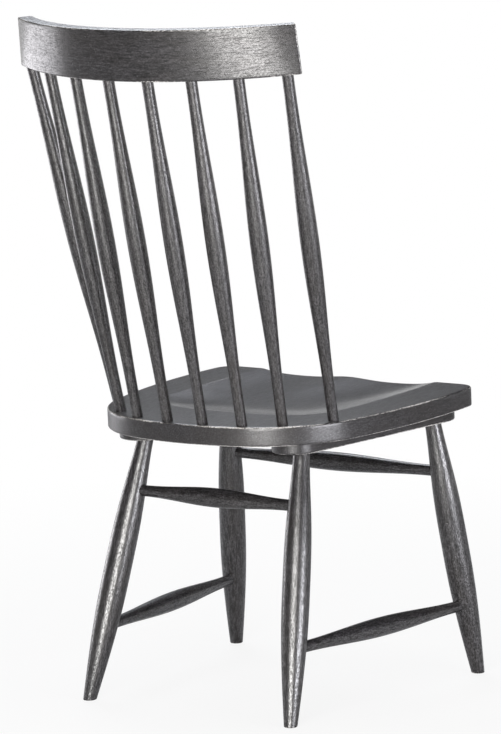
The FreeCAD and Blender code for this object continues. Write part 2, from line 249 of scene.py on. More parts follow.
def raised_cosine(distance, low, middle, high, low_size, swell_size, high_size):
    """Size along a piece: low_size up to low, swell_size at middle, and high_size past high.

    Each side of the swell is half a cosine wave.
    """
    up = np.clip((distance - low) / (middle - low), 0, 1)
    down = np.clip((high - distance) / (high - middle), 0, 1)
    rising = low_size + (swell_size - low_size) * (0.5 - 0.5 * np.cos(np.pi * up))
    falling = high_size + (swell_size - high_size) * (0.5 - 0.5 * np.cos(np.pi * down))
    return np.where(distance < middle, rising, falling)


print("a turned piece has", TURNED_COLUMNS, "points round its axis")

# %% [markdown]
# ## Legs
# Each leg is thickest at half its height and slimmer at the foot and at the neck, which goes
# through the cleat. A cylinder could be bulged with a lattice, but a formula for the diameter
# keeps to the turner's sizes. The foot is cut level: points that would lie under the floor slide
# back along the leg's axis onto it, and the rim is rounded off a little, as use rounds it.

# %% Legs
FOOT_SIZE = 20.5
LEG_SWELL = 42.5
NECK_SIZE = 25.5
FULL_FROM = 192.0
FULL_TO = 212.0
NECK_AT = 420.8
NECK_POWER = 1.5
LEG_TOP = 436.0
FOOT_ROUNDING = 1.5
FOOT_WEAR = 0.8
FOOT_WEAR_HEIGHT = 3.0
# Distances up the axis between which the rings lie close, for the cut and its rounding.
FINE_FROM = -4.0
FINE_TO = 6.0
FINE_RINGS = 26
COARSE_FROM = 8.0
COARSE_RINGS = 190


def leg_size(distance):
    """Diameter up the leg: a quarter sine to the full part, then a squared cosine to the neck.

    The share of the way to the neck is raised to a power, which keeps the leg full for longer.
    Below the foot the sine goes on a little, for the rings that the floor will cut.
    """
    rise = np.sin(0.5 * np.pi * np.clip(distance / FULL_FROM, -0.2, 1))
    share = np.clip((distance - FULL_TO) / (NECK_AT - FULL_TO), 0, 1)
    fall = np.cos(0.5 * np.pi * share**NECK_POWER) ** 2
    lower = FOOT_SIZE + (LEG_SWELL - FOOT_SIZE) * rise
    return np.where(distance < FULL_FROM, lower, NECK_SIZE + (LEG_SWELL - NECK_SIZE) * fall)


def leg(node, foot, lean, side, number):
    """One leg, from the floor to the underside of the seat.

    The rim narrows by what a quarter circle of the rounding takes away at each height.
    """
    fine = np.linspace(FINE_FROM, FINE_TO, FINE_RINGS)
    coarse = np.linspace(COARSE_FROM, LEG_TOP, COARSE_RINGS)
    distance = np.concatenate([fine, coarse])
    way = lean * [side, 1.0, 1.0]
    rings, grain = spin(foot * [side, 1.0, 1.0], way, distance, leg_size(distance) / 2)
    unit = way / np.linalg.norm(way)
    axis = foot * [side, 1.0, 1.0] + distance[:, None, None] * unit
    inside = np.clip(FOOT_ROUNDING - rings[..., 2:], 0, FOOT_ROUNDING)
    narrow = FOOT_ROUNDING - np.sqrt(FOOT_ROUNDING**2 - inside**2)
    rings = axis + (rings - axis) * (1 - 2 * narrow / FOOT_SIZE)
    rings = rings - unit * np.minimum(rings[..., 2:], 0) / unit[2]
    wear = FOOT_WEAR * np.exp(-rings[..., 2] / FOOT_WEAR_HEIGHT)
    return wooden_piece(node, rings, grain + tree_offset(number), wear)


leg("back_leg_left", BACK_FOOT, BACK_LEAN, 1, 1)
leg("back_leg_right", BACK_FOOT, BACK_LEAN, -1, 2)
leg("front_leg_left", FRONT_FOOT, FRONT_LEAN, 1, 3)
leg("front_leg_right", FRONT_FOOT, FRONT_LEAN, -1, 4)
print("legs:", len(pieces))

# %% [markdown]
# ## Stretchers
# A stretcher is a long cigar that keeps two legs apart: its ends are round stock in a bored leg,
# and between the legs it swells. A stretched sphere would be too pointed and have no round ends,
# so the same profile helper is used, with a raised cosine for the swell.

# %% Stretchers
STRETCHER_SWELL = 30.0
STRETCHER_END = 17.5
STRETCHER_SETBACK = 4.0
STRETCHER_RINGS = 180


def stretcher(node, start, end, number):
    """One stretcher between two points on the legs' axes, plain where a leg hides it."""
    length = np.linalg.norm(end - start)
    hidden = LEG_SWELL / 2
    distance = np.linspace(STRETCHER_SETBACK, length - STRETCHER_SETBACK, STRETCHER_RINGS)
    size = raised_cosine(
        distance, hidden, length / 2, length - hidden, STRETCHER_END, STRETCHER_SWELL, STRETCHER_END
    )
    rings, grain = spin(start, end - start, distance, size / 2)
    return wooden_piece(node, rings, grain + tree_offset(number), np.zeros(rings.shape[:2]))


for node, foot, lean, height, number in (
    ("back_stretcher", BACK_FOOT, BACK_LEAN, BACK_STRETCHER_HEIGHT, 5),
    ("front_stretcher", FRONT_FOOT, FRONT_LEAN, FRONT_STRETCHER_HEIGHT, 6),
):
    stretcher(node, leg_point(foot, lean, -1, height), leg_point(foot, lean, 1, height), number)
for node, side, number in (("left_stretcher", 1, 7), ("right_stretcher", -1, 8)):
    stretcher(
        node,
        leg_point(BACK_FOOT, BACK_LEAN, side, SIDE_STRETCHER_HEIGHT),
        leg_point(FRONT_FOOT, FRONT_LEAN, side, SIDE_STRETCHER_HEIGHT),
        number,
    )
print("legs and stretchers:", len(pieces))

# %% [markdown]
# ## The seat's outline
# The seat is drawn with a compass: a wide arc behind, a tighter arc round each shoulder, a very
# wide arc down each side, and a small arc at each front corner. A free curve could be pulled to
# the same line, but arcs are what the maker's template has. Neighbouring arcs touch without a
# corner, so their centres can be worked out from the radii.

# %% Centres of the seat's arcs
SEAT_BACK_Y = 230.7
SEAT_FRONT_Y = -229.0
SEAT_HALF_WIDTH = 249.0
SEAT_WIDEST_Y = -118.0
BACK_RADIUS = 415.0
SHOULDER_RADIUS = 172.0
SIDE_RADIUS = 900.0
CORNER_RADIUS = 30.0


def seat_centres():
    """Centres of the back, shoulder, side and corner arcs of the half with x above 0.

    The shoulder's circle touches the back's and the side's from inside, so its centre is as far
    from theirs as the radii differ. The corner's touches the side's and the straight front.
    """
    back = np.array([0.0, SEAT_BACK_Y - BACK_RADIUS])
    side = np.array([SEAT_HALF_WIDTH - SIDE_RADIUS, SEAT_WIDEST_Y])
    length = np.linalg.norm(side - back)
    along = (side - back) / length
    to_back = BACK_RADIUS - SHOULDER_RADIUS
    to_side = SIDE_RADIUS - SHOULDER_RADIUS
    foot = (to_back**2 - to_side**2 + length**2) / (2 * length)
    across = np.array([along[1], -along[0]])
    shoulder = back + along * foot + across * np.sqrt(to_back**2 - foot**2)
    corner_y = SEAT_FRONT_Y + CORNER_RADIUS
    reach = np.sqrt((SIDE_RADIUS - CORNER_RADIUS) ** 2 - (corner_y - SEAT_WIDEST_Y) ** 2)
    return back, shoulder, side, np.array([side[0] + reach, corner_y])


print("centres of the arcs:", [np.round(centre).tolist() for centre in seat_centres()])

# %% [markdown]
# ## Even points along the outline
# The arcs' own points lie close on a tight arc and far apart on a wide one. Evenly spaced points
# give the edge faces of one size, so the line is walked again in equal steps.

# %% Seat outline
OUTLINE_POINTS = 448
ARC_STEPS = 300
SAME_POINT = 1e-6


def angle_of(vector):
    """Angle of a flat vector from the x axis, in radians."""
    return np.arctan2(vector[1], vector[0])


def evenly(line, count):
    """Count points along a closed line, in equal steps of the length that is gone."""
    line = np.concatenate([line, line[:1]])
    gone = np.concatenate([[0], np.cumsum(np.linalg.norm(np.diff(line, axis=0), axis=1))])
    wanted = np.linspace(0, gone[-1], count, endpoint=False)
    return np.stack([np.interp(wanted, gone, line[:, i]) for i in range(2)], -1)


def seat_outline(count):
    """The outline as count points: arcs of one half, then the same half mirrored.

    An arc starts and ends where the line through two neighbouring centres cuts it.
    """
    back, shoulder, side, corner = seat_centres()
    turns = [
        np.pi / 2,
        angle_of(shoulder - back),
        angle_of(shoulder - side),
        angle_of(corner - side),
        -np.pi / 2,
    ]
    centres = (back, shoulder, side, corner)
    radii = (BACK_RADIUS, SHOULDER_RADIUS, SIDE_RADIUS, CORNER_RADIUS)
    arcs = []
    for i, (centre, radius) in enumerate(zip(centres, radii)):
        turn = np.linspace(turns[i], turns[i + 1], ARC_STEPS)
        arcs.append(centre + radius * np.stack([np.cos(turn), np.sin(turn)], -1))
    half = np.concatenate(arcs)
    step = np.linalg.norm(np.diff(half, axis=0), axis=1)
    half = half[np.concatenate([[True], step > SAME_POINT])]
    return evenly(np.concatenate([half, half[-1:0:-1] * [-1, 1]]), count)


outline = seat_outline(OUTLINE_POINTS)
print("seat outline:", np.round(outline.min(0)), "to", np.round(outline.max(0)))

# %% [markdown]
# ## Boards
# The seat and the cleats are boards: an outline with a rounded edge above and below. A cut-out
# face could be extruded and bevelled, but its top would then be one big face that can't be
# hollowed. Here the rings of the top are smaller copies of the outline, and a height is worked
# out for each of their points, so a saddle is only a matter of the height's formula. Where the
# edge turns, the wood is rubbed, so `wear` is greatest in the middle of each rounding.

# %% Boards as rings
TOP_EDGE_RINGS = 8
SIDE_RINGS = 8
BOTTOM_EDGE_RINGS = 7
UNDERSIDE_RINGS = 7


def inward(outline):
    """Unit vectors that point to the inside of a closed outline.

    Each is square to the line from the point before to the point after.
    """
    along = np.roll(outline, -1, 0) - np.roll(outline, 1, 0)
    normal = np.stack([-along[:, 1], along[:, 0]], -1)
    normal /= np.linalg.norm(normal, axis=1, keepdims=True)
    towards = (outline.mean(0) - outline) * normal
    return normal * np.sign(towards.sum())


def board_rings(outline, thickness, top_rounding, bottom_rounding, height, top_rings, edge_wear):
    """Rings of a board and their wear, from the middle of its top to the middle of its underside.

    A ring of the top is the outline, less the rounding, scaled about the middle by an even share.
    On a rounding, the inset and the drop follow a quarter circle.
    """
    normal = inward(outline)
    middle = outline.mean(0)
    rim = outline + normal * top_rounding
    base = outline + normal * bottom_rounding
    rim_height = height(rim[:, 0], rim[:, 1])
    nothing = np.zeros(len(outline))
    rings, wear = [], []
    for share in (np.arange(top_rings) + 0.5) / top_rings:
        flat = middle + (rim - middle) * share
        rings.append(np.column_stack([flat, height(flat[:, 0], flat[:, 1])]))
        wear.append(nothing)
    for turn in np.linspace(0, np.pi / 2, TOP_EDGE_RINGS):
        flat = outline + normal * top_rounding * (1 - np.sin(turn))
        rings.append(np.column_stack([flat, rim_height - top_rounding * (1 - np.cos(turn))]))
        wear.append(nothing + edge_wear * np.sin(2 * turn))
    side_top = rim_height - top_rounding
    side_bottom = bottom_rounding - thickness
    for share in np.linspace(0, 1, SIDE_RINGS + 2)[1:-1]:
        rings.append(np.column_stack([outline, side_top + (side_bottom - side_top) * share]))
        wear.append(nothing)
    for turn in np.linspace(0, np.pi / 2, BOTTOM_EDGE_RINGS):
        flat = outline + normal * bottom_rounding * (1 - np.cos(turn))
        drop = thickness - bottom_rounding * (1 - np.sin(turn))
        rings.append(np.column_stack([flat, nothing - drop]))
        wear.append(nothing + edge_wear * np.sin(2 * turn))
    for share in np.linspace(1, 0, UNDERSIDE_RINGS + 2)[1:-1]:
        rings.append(np.column_stack([middle + (base - middle) * share, nothing - thickness]))
        wear.append(nothing)
    return np.array(rings), np.array(wear)


print("rings of a board's edge:", TOP_EDGE_RINGS + SIDE_RINGS + BOTTOM_EDGE_RINGS)

# %% [markdown]
# ## The saddled seat
# The seat is a thick board that falls slightly to the back. Two hollows for the thighs meet a low
# ridge in the middle, the pommel. They could be sculpted, but a maker's adze follows a few depths
# and widths, and so does a formula. The rim of the hollow is soft: the lower of the two surfaces,
# the flat top and the hollow, is taken with a rounded corner.

# %% The saddle's height
SEAT_BACK_HEIGHT = 449.2
SEAT_SLOPE = np.radians(1.55)
SEAT_THICKNESS = 30.0
SEAT_TOP_ROUNDING = 3.0
SEAT_BOTTOM_ROUNDING = 2.0
DISH_DEPTH = 10.0
DISH_FRONT_DEPTH = 7.0
DISH_FRONT_HALF_WIDTH = 176.0
DISH_BACK_HALF_WIDTH = 168.0
DISH_FRONT_SQUARENESS = 6.0
DISH_BACK_SQUARENESS = 3.5
DISH_BACK_Y = 114.0
DISH_MIDDLE_Y = -40.0
POMMEL_RISE = 4.4
POMMEL_HALF_WIDTH = 45.0
POMMEL_LENGTH = 190.0
RIM_SOFTNESS = 0.5


def dish(x, y):
    """Height of the saddle's surface over the flat rim.

    It is a power of the share of the way to the sides plus a power of the share of the way to
    the back or the front, less the depth, plus the pommel: a bell across, which grows smoothly
    towards the front.
    """
    forward = np.clip((DISH_MIDDLE_Y - y) / (DISH_MIDDLE_Y - SEAT_FRONT_Y), 0, 1)
    backward = np.clip((y - DISH_MIDDLE_Y) / (DISH_BACK_Y - DISH_MIDDLE_Y), 0, 3)
    half_width = DISH_BACK_HALF_WIDTH + (DISH_FRONT_HALF_WIDTH - DISH_BACK_HALF_WIDTH) * forward
    squareness = DISH_BACK_SQUARENESS + (DISH_FRONT_SQUARENESS - DISH_BACK_SQUARENESS) * forward
    sides = (np.abs(x) / half_width) ** squareness
    ends = backward**3 + (1 - DISH_FRONT_DEPTH / DISH_DEPTH) * forward**2
    grown = np.clip((SEAT_FRONT_Y + POMMEL_LENGTH - y) / POMMEL_LENGTH, 0, 1)
    pommel = POMMEL_RISE * grown * grown * (3 - 2 * grown) * np.exp(-((x / POMMEL_HALF_WIDTH) ** 2))
    return DISH_DEPTH * (sides + ends - 1) + pommel


def soft_top(x, y):
    """The lower of 0 and the dish, with its corner rounded by a root of the sum of squares."""
    height = dish(x, y)
    return 0.5 * (height - np.sqrt(height**2 + RIM_SOFTNESS**2))


print("saddle", round(float(-soft_top(100.0, DISH_MIDDLE_Y)), 1), "mm deep beside its middle")

# %% [markdown]
# ## The seat as a piece
# The board is made lying level and then tipped about its top back edge, because its formulas are
# simple only in its own frame. Its fibres run from front to back, so the third grain number is y.
# A sitter rubs the line where the hollow meets the flat rim, so that line gets a little wear.

# %% Seat
SEAT_TOP_RINGS = 118
SEAT_EDGE_WEAR = 0.8
RIM_LINE_WEAR = 0.55
RIM_LINE_DEPTH = 1.2


def on_seat(points):
    """Turn points from the seat board's own frame, whose top is z = 0, to the chair's.

    The way back from the top back edge and the height are mixed by the slope's sine and cosine.
    """
    c, s = np.cos(SEAT_SLOPE), np.sin(SEAT_SLOPE)
    back = points[..., 1] - SEAT_BACK_Y
    up = points[..., 2]
    y = SEAT_BACK_Y + c * back + s * up
    z = SEAT_BACK_HEIGHT - s * back + c * up
    return np.stack([points[..., 0], y, z], -1)


def seat():
    """The seat. On its top, wear is a bell curve of how near the dish is to the flat rim."""
    rings, wear = board_rings(
        outline, SEAT_THICKNESS, SEAT_TOP_ROUNDING, SEAT_BOTTOM_ROUNDING,
        soft_top, SEAT_TOP_RINGS, SEAT_EDGE_WEAR,
    )
    on_top = np.arange(len(rings))[:, None] < SEAT_TOP_RINGS
    rim_line = np.exp(-((dish(rings[..., 0], rings[..., 1]) / RIM_LINE_DEPTH) ** 2))
    wear = np.where(on_top, RIM_LINE_WEAR * rim_line, wear)
    return wooden_piece("seat", on_seat(rings), rings[..., [0, 2, 1]] + tree_offset(9), wear)


seat_piece = seat()
print("seat with", len(seat_piece.data.vertices), "points")

# %% [markdown]
# ## Cleats
# Under each side of the seat a board with round ends carries the two legs and keeps the seat from
# warping. Its outline is a straight strip between two half circles, along the line that joins the
# necks of the two legs. Where the necks are follows from the legs' axes, so the cleat is placed
# by them and would follow if a leg were moved.

# %% Cleats
CLEAT_THICKNESS = 18.0
CLEAT_WIDTH = 75.0
CLEAT_BACK_OVERHANG = 50.5
CLEAT_FRONT_OVERHANG = 36.0
CLEAT_TOP_ROUNDING = 0.4
CLEAT_BOTTOM_ROUNDING = 2.5
CLEAT_EDGE_WEAR = 0.9
CLEAT_POINTS = 256
CLEAT_TOP_RINGS = 16
HALF_CIRCLE_STEPS = 200


def under_seat(foot, lean, side, depth):
    """Where a leg's axis passes so far under the seat's top, in the seat board's own frame.

    At a height h the axis has moved back by lean times h, or forward where the lean is negative,
    and the sloping plane is lower there by rise times that. So h is the plane's height over the
    foot, divided by 1 + rise * lean.
    """
    rise = np.tan(SEAT_SLOPE)
    over_foot = SEAT_BACK_HEIGHT + rise * (SEAT_BACK_Y - foot[1]) - depth / np.cos(SEAT_SLOPE)
    point = leg_point(foot, lean, side, over_foot / (1 + rise * lean[1]))
    c, s = np.cos(SEAT_SLOPE), np.sin(SEAT_SLOPE)
    back = point[1] - SEAT_BACK_Y
    return np.array([point[0], SEAT_BACK_Y + c * back - s * (point[2] - SEAT_BACK_HEIGHT)])


def flat_top(x, y):
    """Height of a board's top without a hollow."""
    return np.zeros(len(x))


def cleat(node, side, number):
    """One cleat: two half circles round the line between two necks. Its grain is that line."""
    depth = SEAT_THICKNESS + CLEAT_THICKNESS / 2
    back = under_seat(BACK_FOOT, BACK_LEAN, side, depth)
    front = under_seat(FRONT_FOOT, FRONT_LEAN, side, depth)
    forward = (front - back) / np.linalg.norm(front - back)
    across = np.array([forward[1], -forward[0]])
    radius = CLEAT_WIDTH / 2
    turn = np.linspace(0, np.pi, HALF_CIRCLE_STEPS)[:, None]
    half_circle = radius * (np.cos(turn) * across + np.sin(turn) * forward)
    front_end = front + forward * (CLEAT_FRONT_OVERHANG - radius)
    back_end = back - forward * (CLEAT_BACK_OVERHANG - radius)
    strip = np.concatenate([front_end + half_circle, back_end - half_circle])
    rings, wear = board_rings(
        evenly(strip, CLEAT_POINTS), CLEAT_THICKNESS, CLEAT_TOP_ROUNDING, CLEAT_BOTTOM_ROUNDING,
        flat_top, CLEAT_TOP_RINGS, CLEAT_EDGE_WEAR,
    )
    flat = rings[..., :2] - back
    grain = np.stack([flat @ across, rings[..., 2], flat @ forward], -1) + tree_offset(number)
    return wooden_piece(node, on_seat(rings - [0.0, 0.0, SEAT_THICKNESS]), grain, wear)


cleat("left_cleat", 1, 10)
cleat("right_cleat", -1, 11)
print("with seat and cleats:", len(pieces))

# %% [markdown]
# ## The crest rail's faces
# The rail is a curved board that leans back. It could be a straight board bent by a modifier, but
# this one is bent a little tighter along its top than along its bottom: the two faces each lie in
# a plane of their own slope and have arcs of their own radius. So any point of the rail is found
# on the bottom and on the top face, and then taken between the two.

# %% Points of the crest rail
CREST_BACK_Y = 347.0
CREST_BOTTOM = 979.0
CREST_HEIGHT = 80.0
CREST_LEAN = np.radians(12.5)
CREST_THICKNESS = 23.5
CREST_RADII = (422.0, 388.0)
CREST_HALF_ANGLES = np.radians((38.4, 41.8))
CREST_SLOPES = np.radians((6.8, 4.2))


def crest_face(which, inset, share):
    """Point of the bottom (0) or top (1) face, so far in from the back and so far round the arc.

    The share runs from -1 at one end to 1 at the other. The point is on a circle of the radius
    less the inset, and the circle's plane is tipped by the face's slope.
    """
    back = CREST_BACK_Y + which * CREST_HEIGHT * np.sin(CREST_LEAN)
    height = CREST_BOTTOM + which * CREST_HEIGHT * np.cos(CREST_LEAN)
    radius = CREST_RADII[which]
    turn = share * CREST_HALF_ANGLES[which]
    x = (radius - inset) * np.sin(turn)
    y = (radius - inset) * np.cos(turn) - radius
    c, s = np.cos(CREST_SLOPES[which]), np.sin(CREST_SLOPES[which])
    return np.stack([x, back + c * y, height - s * y], -1)


def crest_point(inset, up, share):
    """Point of the rail: on a straight line between the bottom and the top face."""
    mix = (up / CREST_HEIGHT)[..., None]
    return crest_face(0, inset, share) * (1 - mix) + crest_face(1, inset, share) * mix


crest_end = crest_face(0, 0.0, 1.0)
print("lower back corner of the rail:", np.round(crest_end))

# %% [markdown]
# ## The crest rail's sections
# The rail's rings are its sections: rectangles with rounded corners, side by side along the arc.
# A bevel would round its ends as well. Here the sections shrink at each end by a quarter circle
# before the tube closes. The rail is rubbed along all its edges.

# %% Crest rail
CREST_ROUNDING = 2.5
CREST_SECTIONS = 240
CREST_END_SECTIONS = 7
CREST_CORNER_POINTS = 7
# Points between two corners: across the top, down the back, across the bottom, up the front.
CREST_SIDE_POINTS = (8, 30, 8, 30)
# The share of the rounding that the last section loses. The rest keeps its points apart.
CREST_SHRINK = 0.98
CREST_CAPS = (0.35, 0.7)
CREST_WEAR_WIDTH = 2.2


def rounded_section(shrink):
    """Section of the rail as (inset from the back, height).

    Its corners' centres are fixed, and their radius is the rounding less the shrink.
    """
    radius = CREST_ROUNDING - shrink
    near, far = CREST_ROUNDING, CREST_THICKNESS - CREST_ROUNDING
    bottom, top = CREST_ROUNDING, CREST_HEIGHT - CREST_ROUNDING
    turn = np.linspace(0, np.pi / 2, CREST_CORNER_POINTS)
    corners = []
    for i, (x, y) in enumerate(((far, top), (near, top), (near, bottom), (far, bottom))):
        angle = turn + i * np.pi / 2
        corners.append(np.stack([x + radius * np.cos(angle), y + radius * np.sin(angle)], -1))
    section = []
    for i, count in enumerate(CREST_SIDE_POINTS):
        start, end = corners[i][-1], corners[(i + 1) % 4][0]
        steps = np.linspace(0, 1, count + 2)[1:-1, None]
        section += [corners[i], start + (end - start) * steps]
    return np.concatenate(section)


def edge_wear(sections, to_end):
    """Wear near an edge: a bell curve of the two smallest distances to side, face and end."""
    to_side = np.minimum(sections[..., 0], CREST_THICKNESS - sections[..., 0])
    to_face = np.minimum(sections[..., 1], CREST_HEIGHT - sections[..., 1])
    nearness = np.sort(np.stack([to_side, to_face, to_end]), 0)
    return np.exp(-(((nearness[0] + nearness[1]) / CREST_WEAR_WIDTH) ** 2))


def crest_rail():
    """The rail: sections along the arc, which shrink by a quarter circle at each end and close."""
    turn = np.linspace(0, np.pi / 2, CREST_END_SECTIONS + 1)[:-1]
    shrink = CREST_ROUNDING * (1 - np.sin(turn)) * CREST_SHRINK
    from_end = CREST_ROUNDING * (1 - np.cos(turn))
    arc = CREST_RADII[0] * CREST_HALF_ANGLES[0]
    ends = 1 - from_end[::-1] / arc
    inner = np.linspace(-ends[0], ends[0], CREST_SECTIONS)[1:-1]
    shares = np.concatenate([-ends[::-1], inner, ends])
    shrinks = np.concatenate([shrink, np.zeros(len(inner)), shrink[::-1]])
    sections = np.array([rounded_section(s) for s in shrinks])
    middle = np.array([CREST_THICKNESS, CREST_HEIGHT]) / 2
    caps = [middle + (sections[0] - middle) * close for close in CREST_CAPS]
    sections = np.concatenate([caps, sections, caps[::-1]])
    shares = np.concatenate([[-1, -1], shares, [1, 1]])[:, None]
    share = np.broadcast_to(shares, sections.shape[:2])
    rings = crest_point(sections[..., 0], sections[..., 1], share)
    grain = np.stack([sections[..., 0], sections[..., 1], share * arc], -1)
    wear = edge_wear(sections, (1 - np.abs(share)) * arc)
    return wooden_piece("crest_rail", rings, grain + tree_offset(12), wear)


crest_piece = crest_rail()
print("crest rail with", len(crest_piece.data.vertices), "points")

# %% [markdown]
# ## Spindles
# Eight spindles stand in a curve inside the seat's back edge and fan out to the crest rail, evenly
# spaced along its arc. Each has a long swell at half its height and is plain at both ends. One
# spindle could be copied and turned eight times, but no two have quite the same length, so each
# is spun between its own two ends.

# %% Spindles
SPINDLE_FOOT_X = (33.0, 98.5, 153.0, 204.0)
SPINDLE_INSETS = (14.0, 14.0, 16.0, 12.5)
SPINDLE_FOOT = 16.8
SPINDLE_SWELL = 28.6
SPINDLE_TOP = 17.6
SPINDLE_PLAIN_FOOT = 42.0
SPINDLE_SWELL_HEIGHT = 286.0
SPINDLE_STEP = np.radians(10.12)
SPINDLE_IN_SEAT = 8.0
SPINDLE_IN_RAIL = 5.0
SPINDLE_RINGS = 170
SPINDLE_COLUMNS = 56
FIRST_SPINDLE_TREE = 13


def spindle_ends(number, side):
    """Foot on the seat's top, on a curve inside its outline, and top on the rail's bottom face.

    The curve is the outline's circle less the inset: the back's up to where the two arcs join,
    and the shoulder's past it.
    """
    back, shoulder, _, _ = seat_centres()
    x, inset = SPINDLE_FOOT_X[number], SPINDLE_INSETS[number]
    join = back + (shoulder - back) / np.linalg.norm(shoulder - back) * BACK_RADIUS
    centre, radius = (back, BACK_RADIUS) if x < join[0] else (shoulder, SHOULDER_RADIUS)
    y = centre[1] + np.sqrt((radius - inset) ** 2 - (x - centre[0]) ** 2)
    foot = on_seat(np.array([side * x, y, 0.0]))
    share = side * SPINDLE_STEP * (number + 0.5) / CREST_HALF_ANGLES[0]
    return foot, crest_face(0, CREST_THICKNESS / 2, share)


def spindle(node, number, side, tree_number):
    """One spindle, sunk in the seat and in the rail. One diameter below the rail is plain."""
    foot, top = spindle_ends(number, side)
    length = np.linalg.norm(top - foot)
    distance = np.linspace(-SPINDLE_IN_SEAT, length + SPINDLE_IN_RAIL, SPINDLE_RINGS)
    size = raised_cosine(
        distance, SPINDLE_PLAIN_FOOT, SPINDLE_SWELL_HEIGHT, length - SPINDLE_TOP,
        SPINDLE_FOOT, SPINDLE_SWELL, SPINDLE_TOP,
    )
    rings, grain = spin(foot, top - foot, distance, size / 2, SPINDLE_COLUMNS)
    return wooden_piece(node, rings, grain + tree_offset(tree_number), np.zeros(rings.shape[:2]))


tree_number = FIRST_SPINDLE_TREE
for side_name, side in (("left", 1), ("right", -1)):
    for number in range(4):
        spindle(f"spindle_{side_name}_{number + 1}", number, side, tree_number)
        tree_number += 1
print("all wooden pieces:", len(pieces))

# %% [markdown]
# ## Writing shader maths
# A material is a graph of nodes. It could be drawn by hand in the editor, but a graph of fifty
# nodes is hard to read. To write one as ordinary sums, a small class wraps an output socket and
# gives it the usual operators, each of which adds a Math node.

# %% Shader helper
class Wire:
    """Output socket of a node, for use in sums. A wire without a socket starts a material."""

    def __init__(self, tree, socket=None):
        """Remember the node tree, and the socket that the wire comes from."""
        self.tree = tree
        self.socket = socket

    def node(self, kind, settings=(), sockets=(), output=0):
        """New node: its settings first, then a number or a wire for each named socket."""
        made = self.tree.nodes.new(kind)
        for name, setting in dict(settings).items():
            setattr(made, name, setting)
        for name, value in dict(sockets).items():
            if isinstance(value, Wire):
                self.tree.links.new(value.socket, made.inputs[name])
            else:
                made.inputs[name].default_value = value
        return Wire(self.tree, made.outputs[output] if made.outputs else None)

    def maths(self, operation, first, second):
        """Math node with a wire or a number on each side."""
        return self.node("ShaderNodeMath", {"operation": operation}, {0: first, 1: second})

    def __add__(self, other):
        return self.maths("ADD", self, other)

    def __mul__(self, other):
        return self.maths("MULTIPLY", self, other)

    def __sub__(self, other):
        return self.maths("SUBTRACT", self, other)

    def __rsub__(self, other):
        return self.maths("SUBTRACT", other, self)

    __radd__ = __add__
    __rmul__ = __mul__

    def between(self, low, high, start=0.0, end=1.0):
        """Straight line from start at low to end at high, and held outside them."""
        sockets = {"Value": self, "From Min": low, "From Max": high, "To Min": start, "To Max": end}
        return self.node("ShaderNodeMapRange", {"clamp": True}, sockets)

    def colours(self, first, second):
        """First colour where this wire is 0, second colour where it is 1."""
        return self.node("ShaderNodeMix", {"data_type": "RGBA"}, {0: self, 6: first, 7: second}, 2)


def new_material(name):
    """Empty material and the wire that starts it."""
    material = bpy.data.materials.new(name)
    material.use_nodes = True
    material.node_tree.nodes.clear()
    return material, Wire(material.node_tree)


def finish_surface(start, sockets):
    """Principled surface with these sockets, joined to the material's output."""
    shader = start.node("ShaderNodeBsdfPrincipled", {}, sockets)
    start.node("ShaderNodeOutputMaterial", {}, {"Surface": shader})


print("shader sums take + - and *, with a number on either side")

# %% [markdown]
# ## Charcoal-stained wood
# The stain goes deep into open fibres and leaves hard ones lighter, so the wood shows long
# streaks, short flecks and fine black pores, with brownish clouds where the stain lay thinner. A
# scanned picture of such wood would be quick, but it repeats and has edges. Noise that is
# stretched along the third grain number has neither.
#
# The satin lacquer lies thick on the hard flecks and sinks in between them, so its coat varies
# with the flecks. A fine fuzz of raised fibres, with a few dents, is the bump that breaks up
# every highlight. Where a piece is rubbed, pale wood shows through.

# %% Noise that follows the grain
STREAKS_ACROSS = 420.0
STREAKS_ALONG = 50.0


def stretched_noise(start, across, along, detail, rough):
    """Noise of the grain place, from 0 to 1, with so many swings a metre across and along it."""
    place = start.node("ShaderNodeAttribute", {"attribute_name": "grain"}, {}, "Vector")
    drawn = start.node("ShaderNodeMapping", {}, {"Vector": place, "Scale": (across, across, along)})
    sockets = {"Vector": drawn, "Scale": 1.0, "Detail": detail, "Roughness": rough}
    return start.node("ShaderNodeTexNoise", {}, sockets)


print("a streak is", MM / STREAKS_ALONG, "mm long and", round(MM / STREAKS_ACROSS, 1), "mm wide")

# %% [markdown]
# ## Three stocks of wood
# One finish doesn't suit all pieces. The legs are of coarse, open wood, whose flecks and long
# streaks glitter. The slim spindles and stretchers are finer and duller, and the boards are
# planed smooth, with a shinier coat. One function makes all three, and only how soft the pattern
# is, the coat and the bump differ.

# %% Stained wood
DARK_STAIN = (0.002, 0.0018, 0.0018, 1)
GREY_STAIN = (0.076, 0.072, 0.078, 1)
BROWN_CLOUD = (0.014, 0.011, 0.009, 1)
PORE_BLACK = (0.003, 0.003, 0.003, 1)
BARE_WOOD = (0.56, 0.54, 0.52, 1)
BUMP_DEPTH = 0.0004


